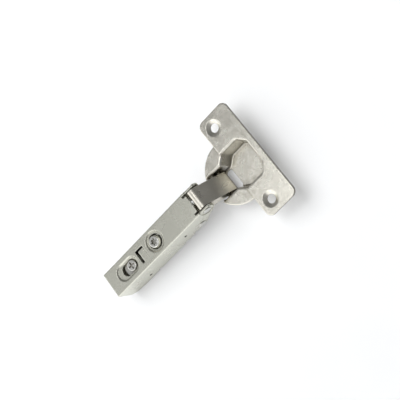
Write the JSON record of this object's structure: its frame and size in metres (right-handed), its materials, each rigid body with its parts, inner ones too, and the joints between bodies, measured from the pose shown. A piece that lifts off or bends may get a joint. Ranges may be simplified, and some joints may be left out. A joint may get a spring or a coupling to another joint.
{
  "type": "clip-on concealed cabinet hinge",
  "caption": "Concealed cup hinge with a channel arm, two folded links, side and depth screws and a clip-on adapter; it folds the cup over the end of the arm.",
  "frame": {"origin": "on the axis of the cup, level with the top face of the flange", "axes": "X away from the arm, Y along the flange screw line, Z out of the cup"},
  "size_m": [0.1101, 0.0622, 0.0233],
  "materials": {
    "nickel_cup": "satin nickel plate",
    "nickel_arm": "satin nickel plate",
    "nickel_link": "satin nickel plate",
    "pin_steel": "plain steel",
    "screw_steel": "bright zinc plate",
    "adapter_steel": "nickel plate",
    "spring_steel": "plain wire"
  },
  "bodies": {
    "adapter": {"plate_adapter": "adapter_steel", "latch_pin": "pin_steel", "latch_spring": "spring_steel"},
    "carrier": {"cam_washer": "screw_steel", "screw_bush": "screw_steel"},
    "arm": {"hinge_arm": "nickel_arm", "arm_outer_pin": "pin_steel", "arm_inner_pin": "pin_steel", "closing_spring_left": "spring_steel", "closing_spring_right": "spring_steel"},
    "side_screw": {"side_screw": "screw_steel"},
    "depth_cam": {"depth_cam": "screw_steel"},
    "latch": {"clip_latch": "adapter_steel"},
    "outer_link": {"outer_link": "nickel_link"},
    "inner_link": {"inner_link": "nickel_link"},
    "cup": {"hinge_cup": "nickel_cup", "cup_inner_pin": "pin_steel", "cup_outer_rivet_left": "pin_steel", "cup_outer_rivet_right": "pin_steel"}
  },
  "joints": [
    {"name": "depth_slide", "type": "slide", "parent": "adapter", "child": "carrier", "axis": [1, 0, 0], "range_m": [-0.001, 0.001]},
    {"name": "side_tilt", "type": "hinge", "parent": "carrier", "child": "arm", "pos_m": [-0.0736, 0, 0.0073], "axis": [0, 1, 0], "range_deg": [-1.2, 1.2]},
    {"name": "side_screw_turn", "type": "hinge", "parent": "arm", "child": "side_screw", "pos_m": [-0.0544, 0, 0.0113], "axis": [0, 0, 1], "range_deg": [-185, 185]},
    {"name": "depth_cam_turn", "type": "hinge", "parent": "arm", "child": "depth_cam", "pos_m": [-0.0736, 0, 0.0113], "axis": [0, 0, 1], "range_deg": [-37, 37]},
    {"name": "latch_press", "type": "hinge", "parent": "adapter", "child": "latch", "pos_m": [-0.0824, 0, 0.0024], "axis": [0, 1, 0], "range_deg": [0, 10]},
    {"name": "cup_fold", "type": "hinge", "parent": "outer_link", "child": "cup", "pos_m": [-0.0102, 0, -0.0065], "axis": [0, 1, 0], "range_deg": [-114.3, 10.16]},
    {"name": "outer_swing", "type": "hinge", "parent": "arm", "child": "outer_link", "pos_m": [-0.0214, 0, 0.0077], "axis": [0, 1, 0], "range_deg": [-2.5, 24.6]},
    {"name": "inner_swing", "type": "hinge", "parent": "arm", "child": "inner_link", "pos_m": [-0.0323, 0, -0.0016], "axis": [0, 1, 0], "range_deg": [-2, 19.5]}
  ],
  "couplings": [
    {"joint": "outer_swing", "follows": "cup_fold", "ratio": -0.2126},
    {"joint": "inner_swing", "follows": "cup_fold", "ratio": -0.16811},
    {"joint": "depth_cam_turn", "follows": "depth_slide", "rad_per_m": 625},
    {"joint": "side_screw_turn", "follows": "side_tilt", "ratio": 151}
  ]
}
